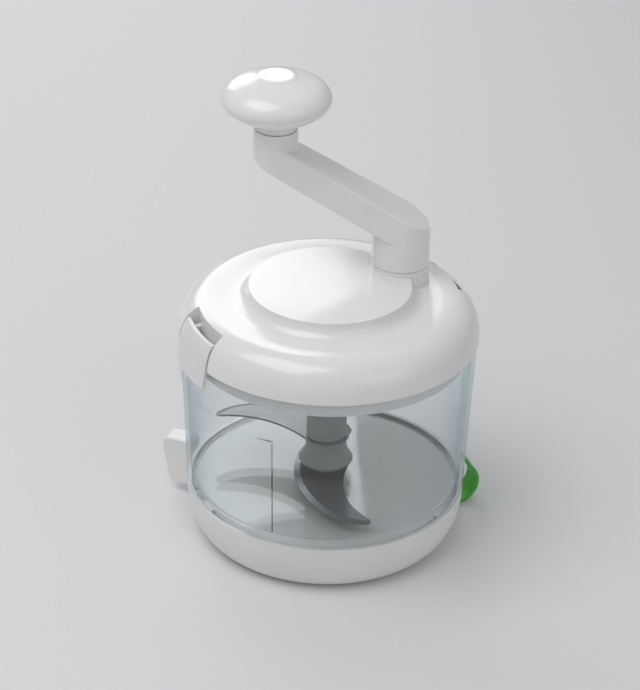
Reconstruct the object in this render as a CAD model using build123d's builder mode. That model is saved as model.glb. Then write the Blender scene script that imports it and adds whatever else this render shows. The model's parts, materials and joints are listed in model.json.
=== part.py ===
from build123d import *
from math import acos, cos, degrees, pi, radians, sin, sqrt, tan
import os

# Crank food chopper: suction base, clear bowl, two sickle blades, geared lid with a crank.
# Millimetres. Z is up, the origin is on the bowl's axis at the table, and the crank is to the right and back.

# ---- driving dimensions ----

# clearances
running = 0.05
gap = 0.3
socket_gap = 0.15
tooth_backlash = 0.16

# base, outside
base_rim_radius = 75.5
flank_draft = 0.2
base_rounding = 14.3
rim_band = 2.9
rim_depth = 2.0
base_wall = 2.3
deck_thickness = 2.4
foot_land = 2.5
key_azimuths = (90, 210, 330)
key_width = 10.0
key_height = 2.4

# underside
plate_thickness = 2.0
base_boss_radius = 3.6
base_screw_setback = 10.5
base_screw_azimuths = (80, 215, 320)
screw_shank_radius = 1.25
screw_head_radius = 2.6
screw_head_height = 1.3
screw_head_gap = 0.2
screw_length = 11.0

# suction pad and its release tab, which is set out from the base's flank
pad_gap = 1.5
pad_thickness = 2.6
pad_neck_radius = 8.0
pad_neck_length = 3.1
tab_azimuth = 19.0
tab_width = 14.0
tab_thickness = 1.8
tab_notch_gap = 0.5
tab_run = 3.7
tab_bulge = 12.7
tab_lip = 7.7
tab_height = 23.2
tab_bulge_height = 13.5
tab_corner = 4.0
tab_overlap = 3.0

# suction lever and its cam
lever_azimuth = 160.0
lever_gap = 2.0
lever_bottom_depth = 13.7
lever_top_depth = 18.6
lever_heel = 8.4
lever_reach = 20.0
lever_width = 12.0
lever_rounding = 4.0
lever_edge_rounding = 1.2
lever_hub_wall = 2.4
shaft_radius = 2.6
shaft_boss_wall = 3.0
shaft_boss_setback = 2.0
square_length = 8.0
square_gap = 0.05
screw_web = 2.0
lever_screw_length = 7.0
cam_radius = 5.2
cam_throw = 2.5
cam_width = 8.0
stem_radius = 13.0
stem_floor = 2.8
stem_wall = 2.4
stem_headroom = 0.3
window_play = 0.7
guide_wall = 2.0

# bowl
bowl_setback = 0.1
bowl_taper = 3.6
bowl_height = 88.9
bowl_floor_rise = 3.8
bowl_floor_thickness = 2.8
bowl_wall = 2.1
bowl_ring_wall = 2.4
bowl_corner_radius = 3.5
bowl_lip_radius = 0.6
bowl_boss_wall = 5.0
bowl_boss_rise = 0.8
bowl_boss_gap = 0.5
pin_seat = 1.2
rib_azimuths = (8, 128, 248)
rib_sweep = 8.5
rib_depth = 2.0
rib_drop = 26.7
rib_root = 0.5
apron_depth = 0.6
apron_length = 22.2
apron_shoulder_drop = 2.4
apron_bottom_chamfer = 0.6
apron_bottom_half_angle = 14.0
apron_top_half_angle = 21.0
apron_corner_radius = 4.0

# blades and hub
pin_radius = 3.0
pin_length = 36.4
pin_chamfer = 0.8
hub_hex = 9.0
blade_thickness = 1.2
blade_floor_gap = 2.0
foot_radius = 9.5
foot_thickness = 1.0
boss_radius = 10.4
boss_length = 3.7
collar_radius = 14.8
collar_rim = 0.6
collar_height = 14.1
sleeve_radius = 10.9
sleeve_gap = 1.0
sleeve_chamfer = 0.8
hub_core_length = 5.0
spigot_hex = 9.0
spigot_length = 10.0
lower_blade_azimuth = 293.5
upper_blade_azimuth = 165.0

# one blade in plan, with the hub's axis at the origin and the tip along x
blade_back_radius = 12.5
blade_bevel_width = 3.2
blade_bevel_height = 0.8
blade_edge = [(-2.7, -17.6), (11.0, -22.0), (26.0, -23.0), (42.0, -20.9), (54.5, -14.8)]
blade_tip = (63.2, -4.4)
blade_nose = (62.8, -0.9)
blade_notch = (60.0, -0.4)
blade_spine = [(44.5, -3.8), (32.0, -2.4), (17.0, 3.6)]
blade_spine_azimuth = 48.0
blade_tail_azimuth = 160.0
upper_blade_heel = (-12.2, -8.0)
lower_blade_heel = (-21.3, -4.0)

# lid, set out from the bowl's rim
lid_overhang = 1.0
lid_wall = 2.4
lid_flank_width = 15.0
lid_crest_height = 19.5
valley_setback = 14.5
valley_drop = 0.7
plateau_step = 7.5
plateau_height = 26.5
plateau_crown = 1.0
seal_width = 4.0
seal_thickness = 1.8
seal_gap = 0.4

# underplate
band_gap = 2.9
band_wall = 2.0
band_depth = 10.0
floor_recess = 2.0
floor_thickness = 2.0
flange_thickness = 1.5
flange_gap = 0.2
lid_screw_setback = 12.0
lid_screw_azimuths = (100, 160, 250, 315)
lid_boss_radius = 3.6

# latches, set out from the lid's rim and from its lower edge
latch_azimuths = {"left": 205.0, "right": 25.0}
latch_half_angle = 12.9
latch_thickness = 1.9
latch_skirt_thickness = 1.3
latch_skirt_gap = 0.15
latch_rise = 13.5
latch_waist_rise = 3.9
latch_flare_drop = 4.2
latch_lip_depth = 0.9
latch_lip_drop = 9.7
latch_pin_radius = 1.2
latch_pin_depth = 7.4
latch_pin_rise = 8.0
latch_barrel_radius = 2.2
latch_barrel_half_length = 10.6
latch_arm_width = 4.0
latch_arm_setback = 0.6
latch_ear_width = 3.0
latch_ear_gap = 0.4
slot_half_angle = 14.0
slot_depth = 10.5
slot_rise = 3.5
slot_wall = 1.6
slot_skirt_depth = 2.6
slot_run_out = 5.0

# crank and gears: the module comes from the room inside the underplate's band
crank_teeth = 32
pinion_teeth = 23
gear_rim_gap = 0.8
pressure_angle = 20.0
gear_width = 5.4
gear_gap = 0.7
gear_hub_wall = 1.0
crank_azimuth = 32.6
turret_radius = 15.4
turret_height = 29.2
turret_rounding = 0.5
turret_foot_radius = 2.0
bush_wall = 2.4
bush_boss_wall = 3.0
bush_boss_gap = 2.4
crank_shaft_radius = 4.1
crank_journal_radius = 3.0
journal_boss_wall = 3.0
journal_boss_drop = 1.6
journal_tail = 0.4
journal_tail_gap = 0.2
crank_hex = 7.0
crank_socket_depth = 15.0
pinion_journal_radius = 9.0
pinion_journal_drop = 3.0
clip_groove_depth = 1.0
clip_gap = 0.6
clip_thickness = 1.0
clip_width = 2.6
clip_opening = 7.0
crank_reach = 67.3
crank_direction = 182.7
crank_gap = 0.4
arm_slope = 31.3
arm_thickness = 15.6
arm_cap_height = 21.5
arm_rounding = 1.6
arm_run_out = 5.0
handle_post_radius = 11.7
handle_post_height = 16.7
spindle_radius = 4.0
spindle_depth = 14.0
spindle_head_radius = 5.4
spindle_head_height = 1.6
spindle_head_drop = 1.0
knob_radius = 28.9
knob_half_height = 12.7
knob_rise = 17.1
knob_neck_radius = 10.8

# ---- derived sizes ----

# base, built up from the pad to the rim
base_flank_radius = base_rim_radius - flank_draft
base_foot_radius = base_flank_radius - base_rounding
foot_inner_radius = base_foot_radius - foot_land
rim_inner_radius = base_rim_radius - base_wall
pad_radius = foot_inner_radius - pad_gap
base_screw_circle = foot_inner_radius - base_screw_setback
plate_top = pad_thickness + plate_thickness
stem_bottom = pad_thickness + pad_neck_length
window_bottom = stem_bottom + stem_floor
lever_axis_height = window_bottom + gap + cam_radius
window_top = lever_axis_height + cam_radius + window_play
stem_top = window_top + stem_wall
deck_bottom = stem_top + cam_throw + stem_headroom
deck_top = deck_bottom + deck_thickness
base_height = deck_top + rim_depth
base_round_height = base_height - rim_band
guide_inner = stem_radius + gap
guide_outer = guide_inner + guide_wall
guide_end = guide_outer + socket_gap

# lever and shaft
lever_cam_sweep = cam_radius + cam_throw
lever_inner = base_flank_radius + lever_gap
lever_bottom = lever_axis_height - lever_heel
lever_top = lever_axis_height + lever_reach
lever_square = shaft_radius * sqrt(2)
shaft_end = base_flank_radius + lever_gap / 10
square_end = shaft_end + square_length
screw_seat = square_end + screw_web

# bowl
bowl_bottom_radius = base_rim_radius - bowl_setback
bowl_top_radius = bowl_bottom_radius + bowl_taper
bowl_seat = base_height + gap
bowl_top = bowl_seat + bowl_height
bowl_floor_top = bowl_seat + bowl_floor_rise
bowl_floor_bottom = bowl_floor_top - bowl_floor_thickness
bowl_foot_outer = rim_inner_radius - gap
bowl_foot_inner = bowl_foot_outer - bowl_ring_wall
bowl_slope = bowl_taper / bowl_height
bowl_boss_radius = pin_radius + bowl_boss_wall
bowl_boss_top = bowl_floor_top + bowl_boss_rise
bowl_boss_bottom = deck_top + bowl_boss_gap
pin_bottom = bowl_boss_bottom + pin_seat
pin_top = bowl_floor_top + pin_length
rib_top = bowl_top - rib_drop
apron_radius = bowl_top_radius + apron_depth
apron_bottom = bowl_top - apron_length
apron_shoulder = bowl_top - apron_shoulder_drop

# lid and underplate
lid_radius = bowl_top_radius + lid_overhang
lid_bottom = bowl_top + seal_thickness
lid_crest_radius = lid_radius - lid_flank_width
valley_radius = lid_crest_radius - valley_setback
plateau_radius = valley_radius - plateau_step
lid_crest = lid_bottom + lid_crest_height
lid_valley = lid_crest - valley_drop
lid_plateau = lid_bottom + plateau_height
band_outer_radius = bowl_top_radius - bowl_wall - band_gap
band_inner_radius = band_outer_radius - band_wall
seal_inner_radius = band_outer_radius + seal_gap
band_bottom = lid_bottom - band_depth
floor_bottom = band_bottom + floor_recess
floor_top = floor_bottom + floor_thickness
flange_radius = lid_radius - lid_wall - flange_gap
lid_screw_circle = band_inner_radius - lid_screw_setback

# hub
lower_blade_bottom = bowl_floor_top + blade_floor_gap
foot_bottom = lower_blade_bottom - foot_thickness
boss_bottom = lower_blade_bottom + blade_thickness
collar_bottom = boss_bottom + boss_length
collar_top = collar_bottom + collar_height
sleeve_bottom = collar_top + blade_thickness
core_top = sleeve_bottom + hub_core_length
pinion_journal_bottom = floor_bottom - pinion_journal_drop
sleeve_top = pinion_journal_bottom - sleeve_gap
spigot_top = sleeve_top + spigot_length

# latches
slot_inner_radius = lid_radius - slot_depth
slot_skirt_radius = lid_radius - slot_skirt_depth
slot_outer_radius = lid_radius + slot_run_out
slot_floor = lid_bottom + slot_rise
slot_bottom = lid_bottom - slot_wall
slot_wall_angle = degrees(slot_wall / slot_skirt_radius)
latch_top = lid_bottom + latch_rise
latch_waist = lid_bottom + latch_waist_rise
latch_flare_height = lid_bottom - latch_flare_drop
latch_flare_radius = apron_radius + latch_skirt_gap + latch_skirt_thickness
latch_bottom = lid_bottom - latch_lip_drop
latch_lip_radius = latch_flare_radius + latch_lip_depth
latch_pin_distance = lid_radius - latch_pin_depth
latch_pin_height = lid_bottom + latch_pin_rise
latch_pin_half_length = latch_barrel_half_length + latch_ear_gap + latch_ear_width

# gears and crank
gear_module = (band_inner_radius - gear_rim_gap) / (crank_teeth + pinion_teeth / 2 + 1)
gear_bottom = floor_top + gear_gap
gear_top = gear_bottom + gear_width
centre_distance = gear_module * (crank_teeth + pinion_teeth) / 2
crank_centre = (centre_distance * cos(radians(crank_azimuth)), centre_distance * sin(radians(crank_azimuth)))
bush_inner = crank_shaft_radius + running
bush_outer = bush_inner + bush_wall
boss_lower = gear_top + bush_boss_gap
clip_bottom = floor_bottom - clip_gap - clip_thickness
clip_inner_radius = pinion_journal_radius - clip_groove_depth
turret_top = lid_bottom + turret_height
crank_bottom = turret_top + crank_gap
knob_centre = (
    crank_centre[0] + crank_reach * cos(radians(crank_direction)),
    crank_centre[1] + crank_reach * sin(radians(crank_direction)),
)
arm_rise = tan(radians(arm_slope))
arm_depth = arm_thickness / cos(radians(arm_slope))
arm_underside = crank_bottom + arm_cap_height
post_foot = arm_underside + arm_rise * (crank_reach + handle_post_radius - turret_radius)
handle_post_top = post_foot + handle_post_height
spindle_bottom = handle_post_top - spindle_depth
knob_bottom = handle_post_top + gap
knob_centre_height = handle_post_top + knob_rise
spindle_top = knob_centre_height - spindle_head_drop


# ---- helpers ----

def polar(radius, azimuth):
    """Plan point at a radius and azimuth about the bowl's axis."""
    return (radius * cos(radians(azimuth)), radius * sin(radians(azimuth)))


def radial_plane(azimuth):
    """Upright plane through the bowl's axis: local x is the radius, local y the height."""
    a = radians(azimuth)
    return Plane(origin=(0, 0, 0), x_dir=(cos(a), sin(a), 0), z_dir=(sin(a), -cos(a), 0))


def outward_plane(azimuth, distance, height):
    """Plane that faces outward at an azimuth: local x is tangential, local y is up."""
    a = radians(azimuth)
    centre = (distance * cos(a), distance * sin(a), height)
    return Plane(origin=centre, x_dir=(-sin(a), cos(a), 0), z_dir=(cos(a), sin(a), 0))


def bowl_outer(height):
    """Outer radius of the bowl's wall at a height."""
    return bowl_bottom_radius + bowl_slope * (height - bowl_seat)


def dome_radius(height):
    """Outer radius of the lid's flank at a height."""
    rise = (height - lid_bottom) / lid_crest_height
    return lid_crest_radius + lid_flank_width * sqrt(1 - rise * rise)


def screw(name, bottom, length, head_radius, head_height):
    """Pan-head screw that points up, at the origin of its own plan position."""
    with BuildPart() as made:
        with BuildSketch(Plane.XY.offset(bottom)):
            Circle(head_radius)
        extrude(amount=head_height)
        with BuildSketch(Plane.XY.offset(bottom)):
            Circle(screw_shank_radius)
        extrude(amount=length)
        chamfer(made.edges().sort_by(Axis.Z)[-1], screw_shank_radius * 0.4)
    return made.part


def save(part, name):
    """Label one finished piece and write it."""
    part.label = name
    export_step(part, f"parts/{name}.step")


os.makedirs("parts", exist_ok=True)

# ---- base ----

with BuildPart() as base_shell:
    # rounded foot, upright flank and the rim that the bowl drops into
    with BuildSketch(Plane.XZ):
        with BuildLine():
            Line((0, 0), (base_foot_radius, 0))
            EllipticalCenterArc(
                (base_foot_radius, base_round_height),
                base_flank_radius - base_foot_radius,
                base_round_height,
                start_angle=270,
                arc_size=90,
            )
            Polyline(
                (base_flank_radius, base_round_height),
                (base_rim_radius, base_height),
                (rim_inner_radius, base_height),
                (rim_inner_radius, deck_top),
                (0, deck_top),
                (0, 0),
            )
        make_face()
    revolve(axis=Axis.Z)
    # hollow below the deck, one wall thick
    with BuildSketch(Plane.XZ):
        with Locations((base_foot_radius, base_round_height)):
            Ellipse(base_flank_radius - base_foot_radius - base_wall, base_round_height - base_wall)
        Rectangle(base_foot_radius, base_height, align=(Align.MIN, Align.MIN))
        with Locations((0, pad_thickness)):
            Rectangle(
                base_rim_radius,
                deck_bottom - pad_thickness,
                align=(Align.MIN, Align.MIN),
                mode=Mode.INTERSECT,
            )
    revolve(axis=Axis.Z, mode=Mode.SUBTRACT)
    with BuildSketch(Plane.XY):
        Circle(foot_inner_radius)
    extrude(amount=pad_thickness, mode=Mode.SUBTRACT)
    # tube that guides the suction stem
    with BuildSketch(Plane.XY.offset(plate_top + gap)):
        Circle(guide_outer)
    extrude(amount=deck_bottom - plate_top - gap)
    # screw bosses
    with BuildSketch(Plane.XY.offset(plate_top)):
        with Locations(*[polar(base_screw_circle, a) for a in base_screw_azimuths]):
            Circle(base_boss_radius)
    extrude(amount=deck_bottom - plate_top)
    with BuildSketch(Plane.XY.offset(plate_top)):
        with Locations(*[polar(base_screw_circle, a) for a in base_screw_azimuths]):
            Circle(screw_shank_radius)
    extrude(amount=screw_length, mode=Mode.SUBTRACT)
    # bearing boss of the lever's shaft
    with BuildSketch(outward_plane(lever_azimuth, base_foot_radius, lever_axis_height)):
        Circle(shaft_radius + shaft_boss_wall)
    extrude(amount=base_flank_radius - base_wall - base_foot_radius - shaft_boss_setback)
    with BuildSketch(Plane.XY.offset(plate_top + gap)):
        Circle(guide_inner)
    extrude(amount=deck_bottom - plate_top - gap, mode=Mode.SUBTRACT)
    with BuildSketch(outward_plane(lever_azimuth, 0, lever_axis_height)):
        Circle(lever_cam_sweep + gap)
    extrude(amount=guide_end, mode=Mode.SUBTRACT)
    with BuildSketch(outward_plane(lever_azimuth, -guide_end, lever_axis_height)):
        Circle(shaft_radius + running)
    extrude(amount=guide_end + base_rim_radius, mode=Mode.SUBTRACT)
    # notch that the release tab passes through
    with BuildSketch(outward_plane(tab_azimuth, pad_radius, 0)):
        Rectangle(tab_width + 2 * tab_notch_gap, pad_thickness + tab_notch_gap, align=(Align.CENTER, Align.MIN))
    extrude(amount=base_rim_radius - foot_inner_radius, mode=Mode.SUBTRACT)
    # keys on the deck that stop the bowl from turning
    for azimuth in key_azimuths:
        with BuildSketch(outward_plane(azimuth, bowl_foot_inner, deck_top)):
            Rectangle(key_width, key_height, align=(Align.CENTER, Align.MIN))
        extrude(amount=bowl_foot_outer - bowl_foot_inner)
save(base_shell.part, "base_shell")

with BuildPart() as base_plate:
    with BuildSketch(Plane.XY.offset(pad_thickness)):
        Circle(foot_inner_radius - gap)
        Circle(guide_outer, mode=Mode.SUBTRACT)
        with Locations(*[polar(base_screw_circle, a) for a in base_screw_azimuths]):
            Circle(screw_shank_radius, mode=Mode.SUBTRACT)
    extrude(amount=plate_thickness)
    with BuildSketch(Plane.XY.offset(pad_thickness)):
        with Locations(*[polar(base_screw_circle, a) for a in base_screw_azimuths]):
            Circle(screw_head_radius + screw_head_gap)
    extrude(amount=screw_head_height, mode=Mode.SUBTRACT)
save(base_plate.part, "base_plate")

base_screw = screw("base_screw", pad_thickness, screw_length, screw_head_radius, screw_head_height)
for number, azimuth in enumerate(base_screw_azimuths, 1):
    x, y = polar(base_screw_circle, azimuth)
    save(Pos(x, y, 0) * base_screw, f"base_screw_{number}")

with BuildPart() as suction_pad:
    with BuildSketch(Plane.XY):
        Circle(pad_radius)
    extrude(amount=pad_thickness)
    # release tab: a strip under the foot that turns up into a curved lip
    with BuildSketch(radial_plane(tab_azimuth)):
        with BuildLine():
            strip_end = base_flank_radius + tab_run
            strip_height = (pad_thickness + socket_gap) / 2
            Line((pad_radius - tab_overlap, strip_height), (strip_end, strip_height))
            ThreePointArc(
                (strip_end, strip_height),
                (base_flank_radius + tab_bulge, tab_bulge_height),
                (base_flank_radius + tab_lip, tab_height),
            )
        trace(line_width=tab_thickness)
    extrude(amount=tab_width / 2, both=True)
save(suction_pad.part, "suction_pad")

with BuildPart() as pad_neck:
    with BuildSketch(Plane.XY.offset(pad_thickness)):
        Circle(pad_neck_radius)
    extrude(amount=pad_neck_length)
save(pad_neck.part, "pad_neck")

# ---- suction lever, cam and stem ----

with BuildPart() as suction_lever:
    with BuildSketch(radial_plane(lever_azimuth)):
        with BuildLine():
            Polyline(
                (lever_inner, lever_bottom),
                (lever_inner + lever_bottom_depth, lever_bottom),
                (lever_inner + lever_top_depth, lever_top),
                (lever_inner, lever_top),
                close=True,
            )
        make_face()
        fillet(vertices(), lever_rounding)
    extrude(amount=lever_width / 2, both=True)
    sideways = Axis((0, 0, 0), radial_plane(lever_azimuth).z_dir)
    fillet(faces().sort_by(sideways)[0].edges(), lever_edge_rounding)
    fillet(faces().sort_by(sideways)[-1].edges(), lever_edge_rounding)
    # hub that reaches in to the base
    with BuildSketch(outward_plane(lever_azimuth, shaft_end, lever_axis_height)):
        Circle(shaft_radius + lever_hub_wall)
    extrude(amount=square_end - shaft_end)
    with BuildSketch(outward_plane(lever_azimuth, shaft_end, lever_axis_height)):
        Rectangle(lever_square + 2 * square_gap, lever_square + 2 * square_gap)
    extrude(amount=square_end - shaft_end, mode=Mode.SUBTRACT)
    with BuildSketch(outward_plane(lever_azimuth, square_end, lever_axis_height)):
        Circle(screw_shank_radius + square_gap)
    extrude(amount=screw_web, mode=Mode.SUBTRACT)
    with BuildSketch(outward_plane(lever_azimuth, screw_seat, lever_axis_height)):
        Circle(screw_head_radius + gap)
    extrude(amount=lever_top_depth, mode=Mode.SUBTRACT)
save(suction_lever.part, "suction_lever")

with BuildPart() as cam_shaft:
    with BuildSketch(outward_plane(lever_azimuth, -guide_outer + gap, lever_axis_height)):
        Circle(shaft_radius)
    extrude(amount=shaft_end + guide_outer - gap)
    with BuildSketch(outward_plane(lever_azimuth, shaft_end, lever_axis_height)):
        Rectangle(lever_square, lever_square)
    extrude(amount=square_end - shaft_end)
    # eccentric disc that lifts the stem
    with BuildSketch(outward_plane(lever_azimuth, -cam_width / 2, lever_axis_height)):
        with Locations((cam_throw, 0)):
            Circle(cam_radius)
    extrude(amount=cam_width)
    with BuildSketch(outward_plane(lever_azimuth, square_end, lever_axis_height)):
        Circle(screw_shank_radius)
    extrude(amount=screw_web - lever_screw_length, mode=Mode.SUBTRACT)
save(cam_shaft.part, "cam_shaft")

with BuildPart() as lever_screw:
    with BuildSketch(outward_plane(lever_azimuth, screw_seat, lever_axis_height)):
        Circle(screw_head_radius)
    extrude(amount=screw_head_height)
    with BuildSketch(outward_plane(lever_azimuth, screw_seat, lever_axis_height)):
        Circle(screw_shank_radius)
    extrude(amount=-lever_screw_length)
save(lever_screw.part, "lever_screw")

with BuildPart() as suction_stem:
    with BuildSketch(Plane.XY.offset(stem_bottom)):
        Circle(stem_radius)
    extrude(amount=stem_top - stem_bottom)
    # window that the eccentric turns in
    with BuildSketch(outward_plane(lever_azimuth, -stem_radius, window_bottom)):
        Rectangle(2 * (lever_cam_sweep + gap), window_top - window_bottom, align=(Align.CENTER, Align.MIN))
    extrude(amount=2 * stem_radius, mode=Mode.SUBTRACT)
save(suction_stem.part, "suction_stem")

# ---- bowl ----

def bowl_rib_plan(height, azimuth):
    """Plan of one upright rib at a height: a ramp that ends in a sharp step."""
    wall = bowl_outer(height) - bowl_wall
    with BuildSketch(Plane.XY.offset(height)) as plan:
        with BuildLine():
            Polyline(
                polar(wall + bowl_wall / 2, azimuth),
                polar(wall - rib_depth, azimuth),
                polar(wall + running, azimuth - rib_sweep),
                polar(wall + bowl_wall / 2, azimuth - rib_sweep),
                close=True,
            )
        make_face()
    return plan.sketch


def bowl_apron(azimuth):
    """Raised catch under one latch: wide at the top, on the outside of the wall."""
    half_bottom = apron_radius * tan(radians(apron_bottom_half_angle))
    half_top = apron_radius * tan(radians(apron_top_half_angle))
    with BuildPart() as apron:
        with BuildSketch(Plane.XZ):
            with BuildLine():
                Polyline(
                    (bowl_outer(apron_bottom) - bowl_wall / 2, apron_bottom),
                    (apron_radius, apron_bottom + apron_bottom_chamfer),
                    (apron_radius, apron_shoulder),
                    (bowl_top_radius, bowl_top),
                    (bowl_top_radius - bowl_wall / 2, bowl_top),
                    close=True,
                )
            make_face()
        revolve(axis=Axis.Z)
        with BuildSketch(outward_plane(azimuth, 0, 0)):
            with BuildLine():
                Polyline(
                    (-half_bottom, apron_bottom),
                    (half_bottom, apron_bottom),
                    (half_top, bowl_top),
                    (-half_top, bowl_top),
                    close=True,
                )
            make_face()
        extrude(amount=2 * apron_radius, mode=Mode.INTERSECT)
    return apron.part


with BuildPart() as bowl:
    with BuildSketch(Plane.XZ):
        with BuildLine():
            Polyline(
                (0, bowl_floor_bottom),
                (bowl_foot_inner, bowl_floor_bottom),
                (bowl_foot_inner, deck_top),
                (bowl_foot_outer, deck_top),
                (bowl_foot_outer, bowl_seat),
                (bowl_bottom_radius, bowl_seat),
                (bowl_top_radius, bowl_top),
                (bowl_top_radius - bowl_wall, bowl_top),
                (bowl_outer(bowl_floor_top) - bowl_wall, bowl_floor_top),
                (0, bowl_floor_top),
                close=True,
            )
        make_face()
    revolve(axis=Axis.Z)
    rings = edges().filter_by(GeomType.CIRCLE)
    fillet(rings.filter_by_position(Axis.Z, bowl_floor_top - gap, bowl_floor_top + gap), bowl_corner_radius)
    fillet(edges().filter_by(GeomType.CIRCLE).group_by(Axis.Z)[-1], bowl_lip_radius)
    # boss that holds the blade pin, above and below the floor
    with BuildSketch(Plane.XY.offset(bowl_boss_bottom)):
        Circle(bowl_boss_radius)
    extrude(amount=bowl_boss_top - bowl_boss_bottom)
    with BuildSketch(Plane.XY.offset(pin_bottom)):
        Circle(pin_radius)
    extrude(amount=bowl_boss_top - pin_bottom, mode=Mode.SUBTRACT)
    for azimuth in rib_azimuths:
        loft([bowl_rib_plan(bowl_floor_top - rib_root, azimuth), bowl_rib_plan(rib_top, azimuth)])
    for azimuth in latch_azimuths.values():
        add(bowl_apron(azimuth))
    # slots of the foot ring over the keys of the base
    for azimuth in key_azimuths:
        with BuildSketch(outward_plane(azimuth, bowl_foot_inner - gap, deck_top)):
            Rectangle(key_width + 2 * gap, key_height + gap, align=(Align.CENTER, Align.MIN))
        extrude(amount=bowl_foot_outer - bowl_foot_inner + 2 * gap, mode=Mode.SUBTRACT)
save(bowl.part, "bowl")

with BuildPart() as blade_pin:
    with BuildSketch(Plane.XY.offset(pin_bottom)):
        Circle(pin_radius)
    extrude(amount=pin_top - pin_bottom)
    chamfer(edges().sort_by(Axis.Z)[-1], pin_chamfer)
save(blade_pin.part, "blade_pin")

# ---- blades and hub ----

def hexagon(across_flats, mode=Mode.ADD):
    """Hexagon given by its width across flats."""
    return RegularPolygon(across_flats / 2, 6, major_radius=False, mode=mode)


def sickle_blade(bottom, azimuth, heel):
    """Curved blade ground along its outer edge, with its tip at an azimuth and its heel behind the hub."""
    tail = polar(blade_back_radius, blade_tail_azimuth)
    root = polar(blade_back_radius, blade_spine_azimuth)
    with BuildPart() as blade:
        with BuildSketch(Plane.XY.offset(bottom).rotated((0, 0, azimuth))):
            with BuildLine():
                Spline(heel, *blade_edge, blade_tip)
                Spline(blade_tip, blade_nose, blade_notch)
                Spline(blade_notch, *blade_spine, root)
                Polyline(root, tail, heel)
            make_face()
            Circle(blade_back_radius)
        extrude(amount=blade_thickness)
        # ground bevel along the cutting edge
        top = faces().sort_by(Axis.Z)[-1]
        cutting_edge = top.edges().sort_by(SortBy.LENGTH)[-1]
        chamfer(cutting_edge, blade_bevel_width, blade_bevel_height, reference=top)
        with BuildSketch(Plane.XY.offset(bottom)):
            hexagon(hub_hex + 2 * running)
        extrude(amount=blade_thickness, mode=Mode.SUBTRACT)
    return blade.part


save(sickle_blade(lower_blade_bottom, lower_blade_azimuth, lower_blade_heel), "lower_blade")
save(sickle_blade(collar_top, upper_blade_azimuth, upper_blade_heel), "upper_blade")

with BuildPart() as blade_hub:
    # boss, flared collar and the hexagonal core that carries both blades
    with BuildSketch(Plane.XZ):
        with BuildLine():
            Polyline(
                (sleeve_radius, collar_top),
                (0, collar_top),
                (0, boss_bottom),
                (boss_radius, boss_bottom),
                (boss_radius, collar_bottom + collar_rim),
                (collar_radius, collar_bottom),
                (collar_radius, collar_bottom + collar_rim),
            )
            Bezier(
                (collar_radius, collar_bottom + collar_rim),
                (sleeve_radius, collar_bottom + collar_height / 3),
                (sleeve_radius, collar_top - collar_height / 3),
                (sleeve_radius, collar_top),
            )
        make_face()
    revolve(axis=Axis.Z)
    with BuildSketch(Plane.XY.offset(foot_bottom)):
        hexagon(hub_hex)
    extrude(amount=core_top - foot_bottom)
    with BuildSketch(Plane.XY.offset(foot_bottom)):
        Circle(pin_radius + running)
    extrude(amount=core_top, mode=Mode.SUBTRACT)
save(blade_hub.part, "blade_hub")

with BuildPart() as hub_foot:
    with BuildSketch(Plane.XY.offset(foot_bottom)):
        Circle(foot_radius)
        hexagon(hub_hex + 2 * running, mode=Mode.SUBTRACT)
    extrude(amount=foot_thickness)
save(hub_foot.part, "hub_foot")

with BuildPart() as hub_sleeve:
    with BuildSketch(Plane.XY.offset(sleeve_bottom)):
        Circle(sleeve_radius)
    extrude(amount=sleeve_top - sleeve_bottom)
    chamfer(edges().group_by(Axis.Z)[-1], sleeve_chamfer)
    # spigot that drives the sleeve from the lid
    with BuildSketch(Plane.XY.offset(sleeve_top)):
        hexagon(spigot_hex)
    extrude(amount=spigot_length)
    chamfer(faces().sort_by(Axis.Z)[-1].edges(), sleeve_chamfer)
    with BuildSketch(Plane.XY.offset(sleeve_bottom)):
        hexagon(hub_hex + 2 * running)
    extrude(amount=core_top - sleeve_bottom + running, mode=Mode.SUBTRACT)
    with BuildSketch(Plane.XY.offset(core_top)):
        Circle(pin_radius + running)
    extrude(amount=pin_top - core_top + gap, mode=Mode.SUBTRACT)
save(hub_sleeve.part, "hub_sleeve")

# ---- lid ----

def lid_sector(azimuth, half_angle, wall):
    """Sector behind one latch, grown inward and down by a wall."""
    with BuildPart() as sector:
        with BuildSketch(radial_plane(azimuth - half_angle)):
            with BuildLine():
                Polyline(
                    (slot_inner_radius - wall, slot_floor - wall),
                    (slot_skirt_radius - wall, slot_floor - wall),
                    (slot_skirt_radius - wall, slot_bottom),
                    (slot_outer_radius, slot_bottom),
                    (slot_outer_radius, lid_plateau),
                    (slot_inner_radius - wall, lid_plateau),
                    close=True,
                )
            make_face()
        revolve(axis=Axis.Z, revolution_arc=2 * half_angle)
    return sector.part


with BuildPart() as lid_cavity:
    # room inside the lid, less the walls round the latch slots
    with BuildSketch(Plane.XZ):
        with Locations((lid_crest_radius, lid_bottom)):
            Ellipse(lid_flank_width - lid_wall, lid_crest_height - lid_wall)
        with Locations((0, lid_bottom)):
            Rectangle(lid_crest_radius, lid_crest_height - lid_wall - valley_drop, align=(Align.MIN, Align.MIN))
            Rectangle(plateau_radius - lid_wall, plateau_height - lid_wall, align=(Align.MIN, Align.MIN))
        with Locations((0, lid_bottom)):
            Rectangle(lid_radius, plateau_height, align=(Align.MIN, Align.MIN), mode=Mode.INTERSECT)
    revolve(axis=Axis.Z)
    for azimuth in latch_azimuths.values():
        add(lid_sector(azimuth, slot_half_angle + slot_wall_angle, slot_wall), mode=Mode.SUBTRACT)

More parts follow.
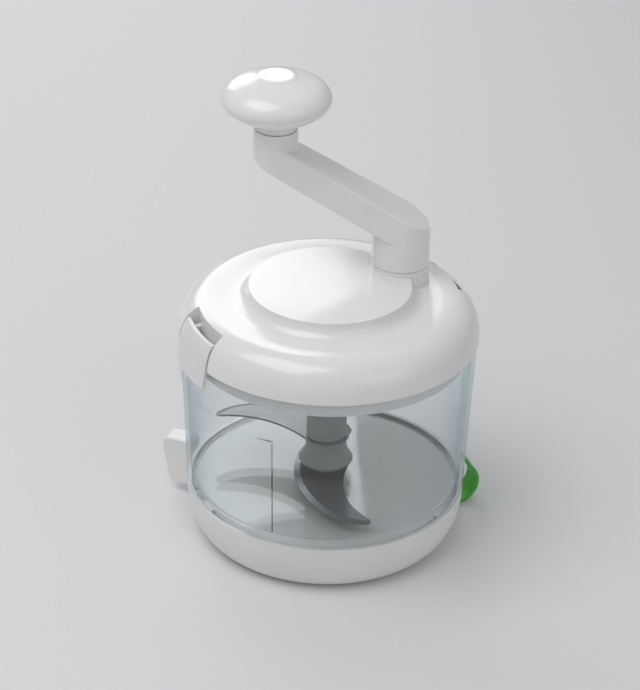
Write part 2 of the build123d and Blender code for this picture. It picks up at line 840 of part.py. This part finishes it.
with BuildPart() as lid_cover:
    with BuildSketch(Plane.XZ):
        with BuildLine():
            Line((0, lid_bottom), (lid_radius, lid_bottom))
            EllipticalCenterArc(
                (lid_crest_radius, lid_bottom), lid_flank_width, lid_crest_height, start_angle=0, arc_size=90
            )
            Bezier(
                (lid_crest_radius, lid_crest),
                (lid_crest_radius - valley_setback * 0.4, lid_crest),
                (valley_radius + valley_setback * 0.4, lid_valley),
                (valley_radius, lid_valley),
            )
            EllipticalCenterArc(
                (valley_radius, lid_plateau),
                plateau_step,
                lid_plateau - lid_valley,
                start_angle=180,
                arc_size=90,
            )
            ThreePointArc(
                (plateau_radius, lid_plateau),
                (plateau_radius / 2, lid_plateau + plateau_crown * 0.75),
                (0, lid_plateau + plateau_crown),
            )
            Line((0, lid_plateau + plateau_crown), (0, lid_bottom))
        make_face()
    revolve(axis=Axis.Z)
    add(lid_cavity.part, mode=Mode.SUBTRACT)
    for azimuth in latch_azimuths.values():
        add(lid_sector(azimuth, slot_half_angle, 0), mode=Mode.SUBTRACT)
    # turret of the crank, with a long bearing boss inside
    with BuildSketch(Plane.XY.offset(lid_valley - lid_wall)):
        with Locations(crank_centre):
            Circle(turret_radius)
    extrude(amount=turret_top - lid_valley + lid_wall)
    fillet(edges().filter_by(GeomType.CIRCLE).group_by(Axis.Z)[-1], turret_rounding)
    with BuildSketch(Plane.XY.offset(boss_lower)):
        with Locations(crank_centre):
            Circle(bush_outer + bush_boss_wall)
    extrude(amount=lid_crest - boss_lower)
    with BuildSketch(Plane.XY.offset(boss_lower)):
        with Locations(crank_centre):
            Circle(bush_outer)
    extrude(amount=turret_top, mode=Mode.SUBTRACT)
    # screw bosses that reach down to the underplate
    with BuildSketch(Plane.XY.offset(floor_top)):
        with Locations(*[polar(lid_screw_circle, a) for a in lid_screw_azimuths]):
            Circle(lid_boss_radius)
    extrude(amount=lid_crest - lid_wall / 2 - floor_top)
    with BuildSketch(Plane.XY.offset(floor_top)):
        with Locations(*[polar(lid_screw_circle, a) for a in lid_screw_azimuths]):
            Circle(screw_shank_radius)
    extrude(amount=screw_length, mode=Mode.SUBTRACT)
    # ears that carry the latch pins
    for azimuth in latch_azimuths.values():
        for side in (-1, 1):
            ear_offset = side * (latch_pin_half_length - latch_ear_width / 2)
            ear_plane = radial_plane(azimuth).offset(ear_offset)
            with BuildSketch(ear_plane):
                with Locations((latch_pin_distance, latch_pin_height)):
                    Circle(latch_barrel_radius)
                with Locations((slot_inner_radius - slot_wall, slot_floor - slot_wall)):
                    Rectangle(
                        latch_pin_distance - slot_inner_radius + slot_wall,
                        latch_pin_height + latch_barrel_radius - slot_floor + slot_wall,
                        align=(Align.MIN, Align.MIN),
                    )
                with Locations((latch_pin_distance, slot_floor - slot_wall)):
                    Rectangle(
                        latch_barrel_radius,
                        latch_pin_height - slot_floor + slot_wall,
                        align=(Align.MIN, Align.MIN),
                    )
            extrude(amount=latch_ear_width / 2, both=True)
        with BuildSketch(radial_plane(azimuth)):
            with Locations((latch_pin_distance, latch_pin_height)):
                Circle(latch_pin_radius)
        extrude(amount=latch_pin_half_length, both=True, mode=Mode.SUBTRACT)
save(lid_cover.part, "lid_cover")

with BuildPart() as lid_underplate:
    with BuildSketch(Plane.XZ):
        with BuildLine():
            Polyline(
                (0, floor_bottom),
                (band_inner_radius, floor_bottom),
                (band_inner_radius, band_bottom),
                (band_outer_radius, band_bottom),
                (band_outer_radius, lid_bottom),
                (flange_radius, lid_bottom),
                (flange_radius, lid_bottom + flange_thickness),
                (band_inner_radius, lid_bottom + flange_thickness),
                (band_inner_radius, floor_top),
                (0, floor_top),
                close=True,
            )
        make_face()
    revolve(axis=Axis.Z)
    # notches of the flange round the latch slots
    for azimuth in latch_azimuths.values():
        notch_half_angle = slot_half_angle + slot_wall_angle + degrees(flange_gap / slot_skirt_radius)
        with BuildSketch(radial_plane(azimuth - notch_half_angle)):
            with Locations((slot_skirt_radius - slot_wall - flange_gap, lid_bottom)):
                Rectangle(slot_run_out, flange_thickness, align=(Align.MIN, Align.MIN))
        revolve(axis=Axis.Z, revolution_arc=2 * notch_half_angle, mode=Mode.SUBTRACT)
    # bearings of the pinion and of the crank's shaft
    with BuildSketch(Plane.XY.offset(floor_bottom)):
        Circle(pinion_journal_radius + running)
    extrude(amount=floor_thickness, mode=Mode.SUBTRACT)
    with BuildSketch(Plane.XY.offset(floor_bottom - journal_boss_drop)):
        with Locations(crank_centre):
            Circle(crank_journal_radius + journal_boss_wall)
    extrude(amount=journal_boss_drop)
    with BuildSketch(Plane.XY.offset(floor_bottom - journal_tail - journal_tail_gap)):
        with Locations(crank_centre):
            Circle(crank_journal_radius + running)
    extrude(amount=floor_thickness + journal_tail + journal_tail_gap, mode=Mode.SUBTRACT)
    with BuildSketch(Plane.XY.offset(floor_bottom)):
        with Locations(*[polar(lid_screw_circle, a) for a in lid_screw_azimuths]):
            Circle(screw_shank_radius)
    extrude(amount=floor_thickness, mode=Mode.SUBTRACT)
    with BuildSketch(Plane.XY.offset(floor_bottom)):
        with Locations(*[polar(lid_screw_circle, a) for a in lid_screw_azimuths]):
            Circle(screw_head_radius + screw_head_gap)
    extrude(amount=screw_head_height, mode=Mode.SUBTRACT)
save(lid_underplate.part, "lid_underplate")

with BuildPart() as lid_seal:
    with BuildSketch(Plane.XY.offset(bowl_top)):
        Circle(seal_inner_radius + seal_width)
        Circle(seal_inner_radius, mode=Mode.SUBTRACT)
    extrude(amount=seal_thickness)
save(lid_seal.part, "lid_seal")

lid_screw = screw("lid_screw", floor_bottom, screw_length, screw_head_radius, screw_head_height)
for number, azimuth in enumerate(lid_screw_azimuths, 1):
    x, y = polar(lid_screw_circle, azimuth)
    save(Pos(x, y, 0) * lid_screw, f"lid_screw_{number}")

with BuildPart() as crank_bush:
    with BuildSketch(Plane.XY.offset(boss_lower)):
        with Locations(crank_centre):
            Circle(bush_outer)
            Circle(bush_inner, mode=Mode.SUBTRACT)
    extrude(amount=turret_top + crank_gap / 2 - boss_lower)
save(crank_bush.part, "crank_bush")

# ---- latches ----

def latch_curve(shift, skirt_shift):
    """Side line of a latch, flush with the lid above and flared below, moved inward."""
    middle = (latch_top + latch_waist) / 2
    ThreePointArc(
        (dome_radius(latch_top) - shift, latch_top),
        (dome_radius(middle) - shift, middle),
        (dome_radius(latch_waist) - shift, latch_waist),
    )
    Spline(
        (dome_radius(latch_waist) - shift, latch_waist),
        (latch_flare_radius - skirt_shift, latch_flare_height),
        (latch_lip_radius - skirt_shift, latch_bottom),
    )


def latch(azimuth):
    """One side latch: a curved lever with two arms that reach in to its pin."""
    with BuildPart() as made:
        with BuildSketch(radial_plane(azimuth - latch_half_angle)):
            with BuildLine():
                latch_curve(0, 0)
                latch_curve(latch_thickness, latch_skirt_thickness)
                Line((dome_radius(latch_top), latch_top), (dome_radius(latch_top) - latch_thickness, latch_top))
                Line((latch_lip_radius, latch_bottom), (latch_lip_radius - latch_skirt_thickness, latch_bottom))
            make_face()
        revolve(axis=Axis.Z, revolution_arc=2 * latch_half_angle)
        # arms and barrel
        for side in (-1, 1):
            arm_plane = radial_plane(azimuth).offset(side * (latch_barrel_half_length - latch_arm_width / 2))
            with BuildSketch(arm_plane):
                with Locations((latch_pin_distance, latch_pin_height)):
                    Rectangle(
                        dome_radius(latch_pin_height) - latch_thickness - latch_pin_distance,
                        2 * (latch_barrel_radius - gap),
                        align=(Align.MIN, Align.CENTER),
                    )
            extrude(amount=latch_arm_width / 2, both=True)
        with BuildSketch(radial_plane(azimuth)):
            with Locations((latch_pin_distance, latch_pin_height)):
                Circle(latch_barrel_radius)
        extrude(amount=latch_barrel_half_length, both=True)
        with BuildSketch(radial_plane(azimuth)):
            with Locations((latch_pin_distance, latch_pin_height)):
                Circle(latch_pin_radius + running)
        extrude(amount=latch_barrel_half_length, both=True, mode=Mode.SUBTRACT)
    return made.part


def latch_pin(azimuth):
    """Steel pin of one latch, held in the two ears."""
    with BuildPart() as made:
        with BuildSketch(radial_plane(azimuth)):
            with Locations((latch_pin_distance, latch_pin_height)):
                Circle(latch_pin_radius)
        extrude(amount=latch_pin_half_length, both=True)
    return made.part


for side_name, azimuth in latch_azimuths.items():
    save(latch(azimuth), f"latch_{side_name}")
    save(latch_pin(azimuth), f"latch_pin_{side_name}")

# ---- gears ----

def gear_face(teeth, turn):
    """Spur gear outline with involute flanks, one tooth centred at an angle."""
    pitch = gear_module * teeth / 2
    base = pitch * cos(radians(pressure_angle))
    outer = pitch + gear_module
    root = pitch - 1.25 * gear_module
    root_seat = root - gear_module / 2
    start = max(base, root)

    def flank(radius):
        """Half the tooth's angle at a radius."""
        roll = acos(base / radius)
        rise = tan(radians(pressure_angle)) - radians(pressure_angle)
        thickness = pi / (2 * teeth) - tooth_backlash / (4 * pitch)
        return degrees(thickness + rise - tan(roll) + roll)

    middle = (start + outer) / 2
    with BuildSketch() as tooth:
        with BuildLine():
            for side in (-1, 1):
                Line(polar(root_seat, side * flank(start)), polar(start, side * flank(start)))
                ThreePointArc(
                    polar(start, side * flank(start)),
                    polar(middle, side * flank(middle)),
                    polar(outer, side * flank(outer)),
                )
            ThreePointArc(polar(outer, -flank(outer)), (outer, 0), polar(outer, flank(outer)))
            Line(polar(root_seat, -flank(start)), polar(root_seat, flank(start)))
        make_face()
    with BuildSketch() as gear:
        Circle(root)
        with PolarLocations(0, teeth, start_angle=turn):
            add(tooth.sketch)
    return gear.sketch


with BuildPart() as drive_gear:
    with BuildSketch(Plane.XY.offset(gear_bottom)):
        with Locations(crank_centre):
            add(gear_face(crank_teeth, crank_azimuth + 180 + 180 / crank_teeth))
    extrude(amount=gear_width)
    with BuildSketch(Plane.XY.offset(gear_top)):
        with Locations(crank_centre):
            Circle(bush_outer + gear_hub_wall)
    extrude(amount=boss_lower - gear_top - gap)
    with BuildSketch(Plane.XY.offset(gear_bottom)):
        with Locations(crank_centre):
            hexagon(crank_hex)
    extrude(amount=boss_lower - gear_bottom, mode=Mode.SUBTRACT)
save(drive_gear.part, "drive_gear")

with BuildPart() as drive_pinion:
    with BuildSketch(Plane.XY.offset(gear_bottom)):
        add(gear_face(pinion_teeth, crank_azimuth))
    extrude(amount=gear_width)
    with BuildSketch(Plane.XY.offset(pinion_journal_bottom)):
        Circle(pinion_journal_radius)
    extrude(amount=gear_bottom - pinion_journal_bottom)
    # groove of the clip
    with BuildSketch(Plane.XY.offset(clip_bottom)):
        Circle(pinion_journal_radius)
        Circle(clip_inner_radius, mode=Mode.SUBTRACT)
    extrude(amount=clip_thickness, mode=Mode.SUBTRACT)
    # socket of the hub's spigot
    with BuildSketch(Plane.XY.offset(pinion_journal_bottom)):
        hexagon(spigot_hex + 2 * socket_gap)
    extrude(amount=spigot_top + socket_gap - pinion_journal_bottom, mode=Mode.SUBTRACT)
save(drive_pinion.part, "drive_pinion")

with BuildPart() as pinion_clip:
    with BuildSketch(Plane.XY.offset(clip_bottom)):
        Circle(clip_inner_radius + clip_width)
        Circle(clip_inner_radius, mode=Mode.SUBTRACT)
        with Locations((pinion_journal_radius, 0)):
            Rectangle(clip_opening, clip_opening, mode=Mode.SUBTRACT)
    extrude(amount=clip_thickness)
save(pinion_clip.part, "pinion_clip")

# ---- crank ----

with BuildPart() as crank_shaft:
    with BuildSketch(Plane.XY.offset(floor_bottom - journal_tail)):
        with Locations(crank_centre):
            Circle(crank_journal_radius)
    extrude(amount=gear_bottom - floor_bottom + journal_tail)
    with BuildSketch(Plane.XY.offset(gear_bottom)):
        with Locations(crank_centre):
            hexagon(crank_hex)
    extrude(amount=boss_lower - gap - gear_bottom)
    with BuildSketch(Plane.XY.offset(boss_lower - gap)):
        with Locations(crank_centre):
            Circle(crank_shaft_radius)
    extrude(amount=crank_bottom - boss_lower + gap)
    with BuildSketch(Plane.XY.offset(crank_bottom)):
        with Locations(crank_centre):
            hexagon(crank_hex)
    extrude(amount=crank_socket_depth)
save(crank_shaft.part, "crank_shaft")

arm_azimuth = radians(crank_direction)
arm_plane = Plane(
    origin=(crank_centre[0], crank_centre[1], 0),
    x_dir=(cos(arm_azimuth), sin(arm_azimuth), 0),
    z_dir=(sin(arm_azimuth), -cos(arm_azimuth), 0),
)


def arm_bottom(reach):
    """Height of the arm's underside at a distance from the crank's axis."""
    return arm_underside + arm_rise * (reach - turret_radius)


with BuildPart() as crank_arm:
    # tapered arm: the plan joins the two posts, and the side view slopes up to the handle
    with BuildSketch(Plane.XY.offset(crank_bottom)):
        with Locations(crank_centre):
            Circle(turret_radius)
        with Locations(knob_centre):
            Circle(handle_post_radius)
        make_hull()
    extrude(amount=handle_post_top - crank_bottom + arm_depth)
    with BuildSketch(arm_plane):
        with BuildLine():
            near = -turret_radius - arm_run_out
            far = crank_reach + handle_post_radius + arm_run_out
            Polyline(
                (near, arm_bottom(near)),
                (far, arm_bottom(far)),
                (far, arm_bottom(far) + arm_depth),
                (near, arm_bottom(near) + arm_depth),
                close=True,
            )
        make_face()
    extrude(amount=2 * turret_radius, both=True, mode=Mode.INTERSECT)
    slope = Vector(-arm_rise * cos(arm_azimuth), -arm_rise * sin(arm_azimuth), 1).normalized()
    fillet(faces().sort_by(Axis((0, 0, 0), slope))[0].edges(), arm_rounding)
    fillet(faces().sort_by(Axis((0, 0, 0), slope))[-1].edges(), arm_rounding)
    # cap over the turret and post under the knob
    with BuildSketch(Plane.XY.offset(crank_bottom)):
        with Locations(crank_centre):
            Circle(turret_radius)
    extrude(amount=arm_underside - crank_bottom)
    with BuildSketch(Plane.XY.offset(post_foot + arm_rounding)):
        with Locations(knob_centre):
            Circle(handle_post_radius)
    extrude(amount=handle_post_height - arm_rounding)
    with BuildSketch(Plane.XY.offset(handle_post_top)):
        with Locations(knob_centre):
            Circle(2 * handle_post_radius)
    extrude(amount=arm_depth, mode=Mode.SUBTRACT)
    # sockets of the shaft and of the knob's spindle
    with BuildSketch(Plane.XY.offset(crank_bottom)):
        with Locations(crank_centre):
            hexagon(crank_hex)
    extrude(amount=crank_socket_depth, mode=Mode.SUBTRACT)
    with BuildSketch(Plane.XY.offset(handle_post_top)):
        with Locations(knob_centre):
            Circle(spindle_radius)
    extrude(amount=-spindle_depth, mode=Mode.SUBTRACT)
save(crank_arm.part, "crank_arm")

with BuildPart() as knob_spindle:
    with BuildSketch(Plane.XY.offset(spindle_bottom)):
        with Locations(knob_centre):
            Circle(spindle_radius)
    extrude(amount=spindle_top - spindle_bottom)
    with BuildSketch(Plane.XY.offset(spindle_top - spindle_head_height)):
        with Locations(knob_centre):
            Circle(spindle_head_radius)
    extrude(amount=spindle_head_height)
save(knob_spindle.part, "knob_spindle")

with BuildPart() as crank_knob:
    # flattened ball on a short neck, with a bore that snaps over the spindle's head
    knob_plane = Plane(origin=(knob_centre[0], knob_centre[1], 0), x_dir=(1, 0, 0), z_dir=(0, -1, 0))
    neck_angle = acos(knob_neck_radius / knob_radius)
    head_space = spindle_top - spindle_head_height - gap
    knob_line = [
        (knob_radius * cos(a), knob_centre_height + knob_half_height * sin(a))
        for a in (-neck_angle, -neck_angle / 2, 0, pi / 8, pi / 4, 3 * pi / 8)
    ]
    with BuildSketch(knob_plane):
        with BuildLine():
            Polyline(
                (0, knob_centre_height + knob_half_height),
                (0, spindle_top + gap),
                (spindle_head_radius + gap, spindle_top + gap),
                (spindle_head_radius + gap, head_space),
                (spindle_radius + running, head_space),
                (spindle_radius + running, knob_bottom),
                (knob_neck_radius, knob_bottom),
                (knob_neck_radius, knob_centre_height - knob_half_height * sin(neck_angle)),
            )
            Spline(
                *knob_line,
                (0, knob_centre_height + knob_half_height),
                tangents=((knob_radius * sin(neck_angle), knob_half_height * cos(neck_angle)), (-1, 0)),
            )
        make_face()
    revolve(axis=Axis((knob_centre[0], knob_centre[1], 0), (0, 0, 1)))
save(crank_knob.part, "crank_knob")
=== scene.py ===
import json
from math import cos, radians, sin

import bpy
from mathutils import Matrix, Vector

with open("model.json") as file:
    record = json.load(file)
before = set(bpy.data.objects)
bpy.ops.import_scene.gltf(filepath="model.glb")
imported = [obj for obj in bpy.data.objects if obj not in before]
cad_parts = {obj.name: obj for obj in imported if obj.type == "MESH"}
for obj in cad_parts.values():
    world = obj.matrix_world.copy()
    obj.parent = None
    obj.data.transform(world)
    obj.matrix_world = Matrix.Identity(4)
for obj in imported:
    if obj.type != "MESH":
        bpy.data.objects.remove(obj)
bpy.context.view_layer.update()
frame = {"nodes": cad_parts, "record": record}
nodes = frame["nodes"]
scene = bpy.context.scene
scene.view_settings.view_transform = "Standard"

# ---- camera, at the photograph's viewing angle ----

camera_lens = 129.3  # mm on a 36 mm sensor along the long side
camera_distance = 1.3204
camera_elevation = 29.51
camera_roll = 1.43
camera_target = Vector((-0.0046, 0.0, 0.1103))


def make_camera():
    """Camera that looks along +Y and down at the object, rolled a little."""
    tilt = radians(camera_elevation)
    roll = radians(camera_roll)
    right = Vector((1, 0, 0))
    up = Vector((0, sin(tilt), cos(tilt)))
    back = Vector((0, -cos(tilt), sin(tilt)))
    x_axis = right * cos(roll) + up * sin(roll)
    y_axis = up * cos(roll) - right * sin(roll)
    place = camera_target + back * camera_distance
    data = bpy.data.cameras.new("camera")
    data.lens = camera_lens
    data.sensor_width = 36.0
    camera = bpy.data.objects.new("camera", data)
    camera.matrix_world = Matrix.Translation(place) @ Matrix((x_axis, y_axis, back)).transposed().to_4x4()
    scene.collection.objects.link(camera)
    scene.camera = camera


make_camera()

# ---- light, floor and backdrop ----


light_target = Vector((0, 0, 0.12))


def area_light(name, place, width, height, power):
    """Soft rectangular lamp that points at the middle of the object."""
    data = bpy.data.lights.new(name, "AREA")
    data.shape = "RECTANGLE"
    data.size = width
    data.size_y = height
    data.energy = power
    lamp = bpy.data.objects.new(name, data)
    direction = light_target - Vector(place)
    lamp.rotation_euler = direction.to_track_quat("-Z", "Y").to_euler()
    lamp.location = place
    scene.collection.objects.link(lamp)


area_light("key_light", (-0.45, -0.3, 1.2), 0.95, 0.8, 6.4)
area_light("fill_light", (0.9, -1.0, 0.9), 0.9, 0.9, 1.4)
area_light("back_light", (-0.35, 1.1, 0.7), 0.8, 0.5, 3.0)


surround_colour = (0.95, 0.96, 0.98, 1)
surround_strength = 0.42
backdrop_colour = (0.8, 0.8, 0.81, 1)


def make_world():
    """Pale studio surround, brighter where the camera sees it."""
    world = bpy.data.worlds.new("studio")
    scene.world = world
    world.use_nodes = True
    tree = world.node_tree
    surround = tree.nodes["Background"]
    surround.inputs["Color"].default_value = surround_colour
    surround.inputs["Strength"].default_value = surround_strength
    backdrop = tree.nodes.new("ShaderNodeBackground")
    backdrop.inputs["Color"].default_value = backdrop_colour
    path = tree.nodes.new("ShaderNodeLightPath")
    both = tree.nodes.new("ShaderNodeMixShader")
    tree.links.new(path.outputs["Is Camera Ray"], both.inputs["Fac"])
    tree.links.new(surround.outputs["Background"], both.inputs[1])
    tree.links.new(backdrop.outputs["Background"], both.inputs[2])
    tree.links.new(both.outputs["Shader"], tree.nodes["World Output"].inputs["Surface"])


make_world()


floor_reach = 6.0
floor_colour = (0.78, 0.78, 0.79, 1)
floor_roughness = 0.7


def make_floor():
    """Plain pale floor."""
    corners = [
        (-floor_reach, -floor_reach, 0),
        (floor_reach, -floor_reach, 0),
        (floor_reach, floor_reach, 0),
        (-floor_reach, floor_reach, 0),
    ]
    mesh = bpy.data.meshes.new("floor")
    mesh.from_pydata(corners, [], [(0, 1, 2, 3)])
    floor = bpy.data.objects.new("floor", mesh)
    scene.collection.objects.link(floor)
    material = bpy.data.materials.new("floor")
    material.use_nodes = True
    shader = material.node_tree.nodes["Principled BSDF"]
    shader.inputs["Base Color"].default_value = floor_colour
    shader.inputs["Roughness"].default_value = floor_roughness
    mesh.materials.append(material)


make_floor()

# ---- materials ----


def noise(tree, scale, detail=4.0, stretch=(1, 1, 1)):
    """Noise in object space, in features per metre."""
    place = tree.nodes.new("ShaderNodeTexCoord")
    mapping = tree.nodes.new("ShaderNodeMapping")
    mapping.inputs["Scale"].default_value = stretch
    texture = tree.nodes.new("ShaderNodeTexNoise")
    texture.inputs["Scale"].default_value = scale
    texture.inputs["Detail"].default_value = detail
    tree.links.new(place.outputs["Object"], mapping.inputs["Vector"])
    tree.links.new(mapping.outputs["Vector"], texture.inputs["Vector"])
    return texture.outputs["Fac"]


def span(tree, value, low, high, out_low, out_high):
    """Map a value from one range to another."""
    node = tree.nodes.new("ShaderNodeMapRange")
    node.inputs["From Min"].default_value = low
    node.inputs["From Max"].default_value = high
    node.inputs["To Min"].default_value = out_low
    node.inputs["To Max"].default_value = out_high
    tree.links.new(value, node.inputs["Value"])
    return node.outputs["Result"]


def two_tone(tree, value, dark, light):
    """Blend of two colours by a value."""
    node = tree.nodes.new("ShaderNodeMix")
    node.data_type = "RGBA"
    node.inputs["A"].default_value = (*dark, 1)
    node.inputs["B"].default_value = (*light, 1)
    tree.links.new(value, node.inputs["Factor"])
    return node.outputs["Result"]


def bump(tree, shader, value, height):
    """Fine relief, in metres."""
    node = tree.nodes.new("ShaderNodeBump")
    node.inputs["Strength"].default_value = 1.0
    node.inputs["Distance"].default_value = height
    tree.links.new(value, node.inputs["Height"])
    tree.links.new(node.outputs["Normal"], shader.inputs["Normal"])


def surface(name):
    """New node material with its tree and its shader."""
    material = bpy.data.materials.new(name)
    material.use_nodes = True
    tree = material.node_tree
    return material, tree, tree.nodes["Principled BSDF"]


plastic_cloud_scale = 22.0
plastic_grain_scale = 900.0
plastic_ior = 1.5
coat_roughness = 0.12
gloss_change = 0.04


def moulded_plastic(name, dark, light, rough, texture_height, coat=0.0):
    """Moulded plastic: faint tone changes, uneven gloss and a fine texture."""
    material, tree, shader = surface(name)
    clouds = noise(tree, plastic_cloud_scale, 3.0)
    tone = span(tree, clouds, 0.35, 0.65, 0.0, 1.0)
    tree.links.new(two_tone(tree, tone, dark, light), shader.inputs["Base Color"])
    fine = noise(tree, plastic_grain_scale, 2.0)
    uneven = span(tree, fine, 0.3, 0.7, rough - gloss_change, rough + gloss_change)
    tree.links.new(uneven, shader.inputs["Roughness"])
    shader.inputs["IOR"].default_value = plastic_ior
    shader.inputs["Coat Weight"].default_value = coat
    shader.inputs["Coat Roughness"].default_value = coat_roughness
    bump(tree, shader, fine, texture_height)
    return material


clear_front_tint = (0.985, 0.993, 0.993)
clear_edge_tint = (0.5, 0.63, 0.67)
clear_gloss_front = 0.04
clear_gloss_edge = 0.7
edge_sharpness = 4.5


def clear_plastic(name):
    """Clear moulded plastic: light goes through it, with a cool tint and more gloss towards its edges."""
    material, tree, shader = surface(name)
    tree.nodes.remove(shader)
    facing = tree.nodes.new("ShaderNodeLayerWeight")
    facing.inputs["Blend"].default_value = 0.5
    grazing = tree.nodes.new("ShaderNodeMath")
    grazing.operation = "POWER"
    grazing.inputs[1].default_value = edge_sharpness
    tree.links.new(facing.outputs["Facing"], grazing.inputs[0])
    clear = tree.nodes.new("ShaderNodeBsdfTransparent")
    edge = two_tone(tree, grazing.outputs["Value"], clear_front_tint, clear_edge_tint)
    tree.links.new(edge, clear.inputs["Color"])
    gloss = tree.nodes.new("ShaderNodeBsdfGlossy")
    gloss.inputs["Color"].default_value = (0.95, 0.97, 0.98, 1)
    ripple = noise(tree, 60.0, 2.0)
    tree.links.new(span(tree, ripple, 0.3, 0.7, 0.02, 0.06), gloss.inputs["Roughness"])
    bump(tree, gloss, ripple, 0.00004)
    both = tree.nodes.new("ShaderNodeMixShader")
    shine = span(tree, grazing.outputs["Value"], 0.0, 1.0, clear_gloss_front, clear_gloss_edge)
    tree.links.new(shine, both.inputs["Fac"])
    tree.links.new(clear.outputs["BSDF"], both.inputs[1])
    tree.links.new(gloss.outputs["BSDF"], both.inputs[2])
    tree.links.new(both.outputs["Shader"], tree.nodes["Material Output"].inputs["Surface"])
    return material


steel_line_scale = 260.0
steel_line_shade = 0.88


def steel(name, light, rough, stretch):
    """Ground steel with fine lines along one direction."""
    material, tree, shader = surface(name)
    lines = noise(tree, steel_line_scale, 5.0, stretch)
    tone = span(tree, lines, 0.3, 0.7, 0.0, 1.0)
    dark = tuple(steel_line_shade * c for c in light)
    tree.links.new(two_tone(tree, tone, dark, light), shader.inputs["Base Color"])
    uneven = span(tree, lines, 0.3, 0.7, rough - gloss_change, rough + gloss_change)
    tree.links.new(uneven, shader.inputs["Roughness"])
    shader.inputs["Metallic"].default_value = 1.0
    bump(tree, shader, lines, 0.000004)
    return material


def rubber(name, dark, light, rough):
    """Soft rubber with a faint bloom."""
    material, tree, shader = surface(name)
    clouds = noise(tree, 70.0, 4.0)
    tone = span(tree, clouds, 0.35, 0.65, 0.0, 1.0)
    tree.links.new(two_tone(tree, tone, dark, light), shader.inputs["Base Color"])
    tree.links.new(span(tree, clouds, 0.3, 0.7, rough - 0.05, rough + 0.05), shader.inputs["Roughness"])
    shader.inputs["Sheen Weight"].default_value = 0.15
    bump(tree, shader, noise(tree, 1200.0, 2.0), 0.00002)
    return material


materials = {
    "lid_white": moulded_plastic(
        "lid_white", (0.82, 0.815, 0.815), (0.86, 0.855, 0.855), 0.22, 0.000001, coat=0.35
    ),
    "base_white": moulded_plastic("base_white", (0.79, 0.78, 0.77), (0.83, 0.82, 0.81), 0.42, 0.000004),
    "lever_white": moulded_plastic(
        "lever_white", (0.81, 0.805, 0.805), (0.85, 0.845, 0.845), 0.28, 0.000002, coat=0.2
    ),
    "latch_white": moulded_plastic(
        "latch_white", (0.74, 0.74, 0.74), (0.79, 0.79, 0.785), 0.32, 0.000003, coat=0.1
    ),
    "inner_plastic": moulded_plastic("inner_plastic", (0.72, 0.72, 0.72), (0.77, 0.77, 0.77), 0.45, 0.00001),
    "gear_plastic": moulded_plastic("gear_plastic", (0.70, 0.67, 0.58), (0.76, 0.73, 0.64), 0.5, 0.00001),
    "hub_grey": moulded_plastic("hub_grey", (0.25, 0.26, 0.26), (0.29, 0.30, 0.30), 0.34, 0.00001),
    "bowl_clear": clear_plastic("bowl_clear"),
    "steel": steel("steel", (0.62, 0.62, 0.63), 0.3, (1, 1, 0.2)),
    "blade_steel": steel("blade_steel", (0.26, 0.265, 0.275), 0.34, (0.3, 1, 1)),
    "green_rubber": rubber("green_rubber", (0.04, 0.40, 0.015), (0.055, 0.48, 0.02), 0.40),
    "seal": rubber("seal", (0.62, 0.63, 0.63), (0.68, 0.69, 0.69), 0.5),
}


def dress_frame():
    """Give every node of the frame the material of its slot."""
    slots = {part["node"]: part["material_slot"] for part in frame["record"]["subparts"]}
    for name, node in nodes.items():
        node.data.materials.clear()
        node.data.materials.append(materials[slots[name]])


dress_frame()
